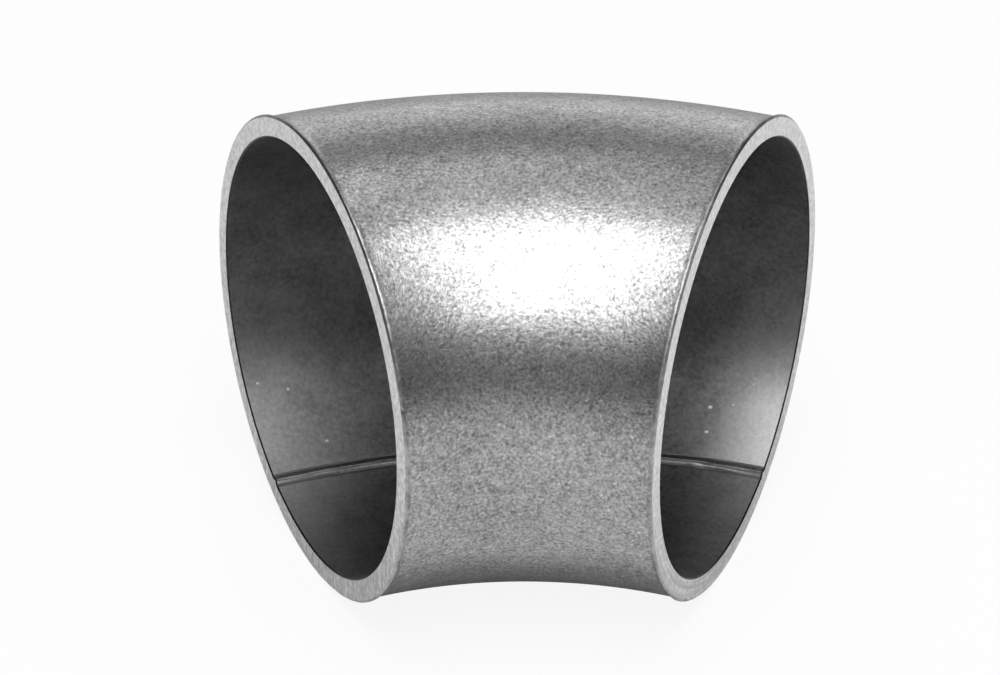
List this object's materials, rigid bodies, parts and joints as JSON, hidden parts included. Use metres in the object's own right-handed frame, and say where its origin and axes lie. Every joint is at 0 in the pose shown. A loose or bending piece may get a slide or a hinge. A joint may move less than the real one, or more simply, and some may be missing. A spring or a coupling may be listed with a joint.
{
  "type": "weld elbow",
  "caption": "Short 45 degree elbow in thin stainless tube, with plain square-cut ends for butt welding and a weld bead along its bore.",
  "frame": {"origin": "middle of the underside of the elbow's box, as it lies on its side with the bend flat", "axes": "+X along the run from the left end to the right, +Y from the tight inner curve to the outer curve, +Z along the bend's axis"},
  "size_m": [0.0524, 0.044, 0.0424],
  "materials": {
    "stainless_steel": "blasted outside, pickled bore, ground and turned ends"
  },
  "bodies": {
    "root": {"elbow": "stainless_steel"}
  },
  "joints": []
}
